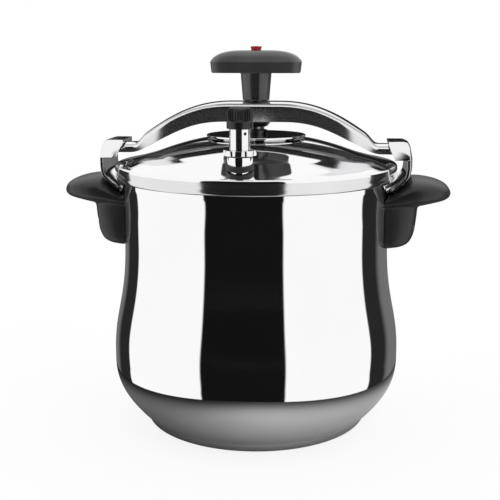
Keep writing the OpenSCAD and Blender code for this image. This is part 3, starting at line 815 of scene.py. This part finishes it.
def build_valves():
    build_valve_cap()
    repaint("valve_body", VALVE_STEEL, "valve_steel", 0.5)
    repaint("valve_sleeve", VALVE_STEEL, "valve_steel")
    repaint("valve_weight", BRASS, "brass")
    repaint("valve_seal", RUBBER, "seal_rubber")
    repaint("valve_skirt", RUBBER, "seal_rubber")
    repaint("valve_nut", ZINC, "zinc_steel", 0.3)
    repaint("safety_body", VALVE_STEEL, "valve_steel", 0.4)
    repaint("safety_crown", VALVE_STEEL, "valve_steel", 0.3)
    repaint("safety_pin", BRASS, "brass", 0.2)
    repaint("safety_spring", TURNED, "spindle_steel")
    repaint("safety_seal", RUBBER, "seal_rubber")
    repaint("safety_nut", ZINC, "zinc_steel", 0.3)


def build_screw():
    repaint("spindle", TURNED, "spindle_steel", 0.2)
    repaint("pressure_foot", FOOT_STEEL, "zinc_steel", 0.4)
    repaint("foot_clip", TURNED, "spindle_steel")


# ---------------------------------------------------------------- studio
def window(tree, value, low, high, soft):
    """1 between low and high and 0 outside, with edges that wide."""
    up = tree.nodes.new("ShaderNodeMapRange")
    up.interpolation_type = "SMOOTHSTEP"
    up.inputs["From Min"].default_value = low - soft / 2
    up.inputs["From Max"].default_value = low + soft / 2
    down = tree.nodes.new("ShaderNodeMapRange")
    down.interpolation_type = "SMOOTHSTEP"
    down.inputs["From Min"].default_value = high - soft / 2
    down.inputs["From Max"].default_value = high + soft / 2
    down.inputs["To Min"].default_value = 1.0
    down.inputs["To Max"].default_value = 0.0
    tree.links.new(value, up.inputs["Value"])
    tree.links.new(value, down.inputs["Value"])
    return combine(tree, "MULTIPLY", up.outputs["Result"], down.outputs["Result"])


def combine(tree, operation, a, b):
    """A math node on two values, each a socket or a number."""
    node = tree.nodes.new("ShaderNodeMath")
    node.operation = operation
    for i, v in enumerate((a, b)):
        if hasattr(v, "links"):
            tree.links.new(v, node.inputs[i])
        else:
            node.inputs[i].default_value = v
    return node.outputs[0]


# Turn round the object in degrees, from the front to the right, of the two white boxes
LEFT_BOX = (-116.0, -39.0)
RIGHT_BOX = (27.5, 107.0)
PAST_ALL = 400.0  # beyond every angle
LOW_BACK_LEVEL = 0.16
DARK_LEVEL = 0.020
GAP_LEVEL = 0.006
STRIP_DEPTH = 0.93
DEGREES = 57.29578


def build_world():
    """A white studio with a dark gap in front and a dark strip at the back, seen in mirrors only:
    to the camera it is white."""
    world = bpy.data.worlds.new("studio")
    bpy.context.scene.world = world
    world.use_nodes = True
    tree = world.node_tree
    tree.nodes.clear()
    coords = tree.nodes.new("ShaderNodeTexCoord")
    axes = tree.nodes.new("ShaderNodeSeparateXYZ")
    tree.links.new(coords.outputs["Generated"], axes.inputs["Vector"])
    behind = combine(tree, "MULTIPLY", axes.outputs["Y"], -1.0)
    turn = combine(tree, "MULTIPLY", combine(tree, "ARCTAN2", axes.outputs["X"], behind), DEGREES)
    lift = combine(tree, "MULTIPLY", combine(tree, "ARCSINE", axes.outputs["Z"], 0.0), DEGREES)
    # White boxes to the left and right, with a dark gap between them in front
    left = window(tree, turn, LEFT_BOX[0], LEFT_BOX[1], 2.0)
    right = window(tree, turn, RIGHT_BOX[0], RIGHT_BOX[1], 2.0)
    gap = window(tree, turn, LEFT_BOX[1], RIGHT_BOX[0], 2.0)
    boxes = combine(tree, "ADD", left, right)
    # Low grey walls behind, and the dark that is left over
    back_right = window(tree, turn, 132.0, PAST_ALL, 14.0)
    back_left = window(tree, turn, -PAST_ALL, -140.0, 14.0)
    low_back = combine(tree, "ADD", back_right, back_left)
    low_part = combine(tree, "ADD", boxes, combine(tree, "MULTIPLY", low_back, LOW_BACK_LEVEL))
    low_part = combine(tree, "MAXIMUM", low_part, DARK_LEVEL)
    low_part = combine(tree, "SUBTRACT", low_part,
                       combine(tree, "MULTIPLY", gap, DARK_LEVEL - GAP_LEVEL))
    # A dark strip just over the horizon at the back, and white over it and over the sides
    back = combine(tree, "ADD", window(tree, turn, 140.0, PAST_ALL, 20.0),
                   window(tree, turn, -PAST_ALL, -140.0, 20.0))
    strip = combine(tree, "MULTIPLY", window(tree, lift, 2.0, 15.0, 3.0), back)
    strip_left = combine(tree, "SUBTRACT", 1.0, combine(tree, "MULTIPLY", strip, STRIP_DEPTH))
    low_part = combine(tree, "MULTIPLY", low_part, strip_left)
    sides = combine(tree, "SUBTRACT", combine(tree, "SUBTRACT", 1.0, gap), back)
    over_sides = combine(tree, "MULTIPLY", window(tree, lift, 12.0, PAST_ALL, 8.0), sides)
    over_back = combine(tree, "MULTIPLY", window(tree, lift, 13.0, PAST_ALL, 4.0), back)
    ceiling = combine(tree, "ADD", over_sides, over_back)
    ceiling = combine(tree, "MAXIMUM", ceiling, window(tree, lift, 58.0, PAST_ALL, 6.0))
    level = combine(tree, "MAXIMUM", low_part, ceiling)
    rays = tree.nodes.new("ShaderNodeLightPath")
    level = combine(tree, "MAXIMUM", level, rays.outputs["Is Camera Ray"])
    background = tree.nodes.new("ShaderNodeBackground")
    output = tree.nodes.new("ShaderNodeOutputWorld")
    tree.links.new(level, background.inputs["Color"])
    tree.links.new(background.outputs["Background"], output.inputs["Surface"])


BOARD_R = 0.245        # edge of the board, metres
BOARD_BRIGHT_R = 0.14  # painted shade darkens the board from here to its edge
BOARD_SQUEEZE = 1.22   # how much narrower it is along X than along Y


def build_floor():
    """A white table. In mirrors it is a small grey board, with painted shade that darkens it to its
    left and towards its edge.
    """
    bpy.ops.mesh.primitive_circle_add(vertices=96, radius=2.5, fill_type="NGON",
                                      location=(0, 0, -0.0002))
    floor = bpy.context.object
    floor.name = "floor"
    made, tree, shader = material("table")
    tree.nodes.remove(shader)
    output = tree.nodes["Material Output"]
    coords = tree.nodes.new("ShaderNodeTexCoord")
    distance = tree.nodes.new("ShaderNodeVectorMath")
    distance.operation = "LENGTH"
    squeeze = tree.nodes.new("ShaderNodeVectorMath")
    squeeze.operation = "MULTIPLY"
    squeeze.inputs[1].default_value = (BOARD_SQUEEZE, 1.0, 1.0)
    tree.links.new(coords.outputs["Object"], squeeze.inputs[0])
    tree.links.new(squeeze.outputs["Vector"], distance.inputs[0])
    reach = distance.outputs["Value"]
    rays = tree.nodes.new("ShaderNodeLightPath")

    glow = tree.nodes.new("ShaderNodeEmission")
    glow.inputs["Strength"].default_value = 1.06
    matte = tree.nodes.new("ShaderNodeBsdfDiffuse")
    matte.inputs["Color"].default_value = (0.85, 0.85, 0.85, 1)
    seen = tree.nodes.new("ShaderNodeMixShader")
    seen.inputs["Fac"].default_value = 0.18
    tree.links.new(glow.outputs[0], seen.inputs[1])
    tree.links.new(matte.outputs[0], seen.inputs[2])

    # The board's gradient is painted shade: darker towards its edge and to its left.
    board = tree.nodes.new("ShaderNodeBsdfDiffuse")
    ramp = tree.nodes.new("ShaderNodeMapRange")
    ramp.interpolation_type = "SMOOTHSTEP"
    ramp.inputs["From Min"].default_value = BOARD_BRIGHT_R
    ramp.inputs["From Max"].default_value = BOARD_R
    ramp.inputs["To Min"].default_value = 0.66
    ramp.inputs["To Max"].default_value = 0.06
    tree.links.new(reach, ramp.inputs["Value"])
    across = tree.nodes.new("ShaderNodeSeparateXYZ")
    tree.links.new(coords.outputs["Object"], across.inputs["Vector"])
    side = tree.nodes.new("ShaderNodeMapRange")
    side.interpolation_type = "SMOOTHSTEP"
    side.inputs["From Min"].default_value = -0.12
    side.inputs["From Max"].default_value = 0.05
    side.inputs["To Min"].default_value = 0.34
    side.inputs["To Max"].default_value = 1.0
    tree.links.new(across.outputs["X"], side.inputs["Value"])
    shade = combine(tree, "MULTIPLY", ramp.outputs["Result"], side.outputs["Result"])
    tree.links.new(shade, board.inputs["Color"])
    clear = tree.nodes.new("ShaderNodeBsdfTransparent")
    mirrored = tree.nodes.new("ShaderNodeMixShader")
    tree.links.new(window(tree, reach, BOARD_R, PAST_ALL, 0.004), mirrored.inputs["Fac"])
    tree.links.new(board.outputs[0], mirrored.inputs[1])
    tree.links.new(clear.outputs[0], mirrored.inputs[2])

    both = tree.nodes.new("ShaderNodeMixShader")
    tree.links.new(rays.outputs["Is Glossy Ray"], both.inputs["Fac"])
    tree.links.new(seen.outputs[0], both.inputs[1])
    tree.links.new(mirrored.outputs[0], both.inputs[2])
    tree.links.new(both.outputs[0], output.inputs["Surface"])
    floor.data.materials.append(made)


def build_camera():
    """A view from a little to the right of the front and a little above."""
    turn, distance, height, pitch = 4.9, 810.1, 316.6, 11.94
    data = bpy.data.cameras.new("camera")
    data.sensor_width = 36.0
    data.lens = 68.95
    data.shift_x = -0.01234
    camera = bpy.data.objects.new("camera", data)
    bpy.context.scene.collection.objects.link(camera)
    a = math.radians(turn)
    camera.location = (distance * MM * math.sin(a), -distance * MM * math.cos(a), height * MM)
    camera.rotation_euler = (math.radians(90 - pitch), 0, a)
    bpy.context.scene.camera = camera


build_camera()
build_pot()
build_lid()
build_yoke()
build_knob()
build_handle(1, "handle_right")
build_handle(-1, "handle_left")
build_hooks()
build_valves()
build_screw()
build_world()
build_floor()
bpy.context.scene.view_settings.view_transform = "Standard"
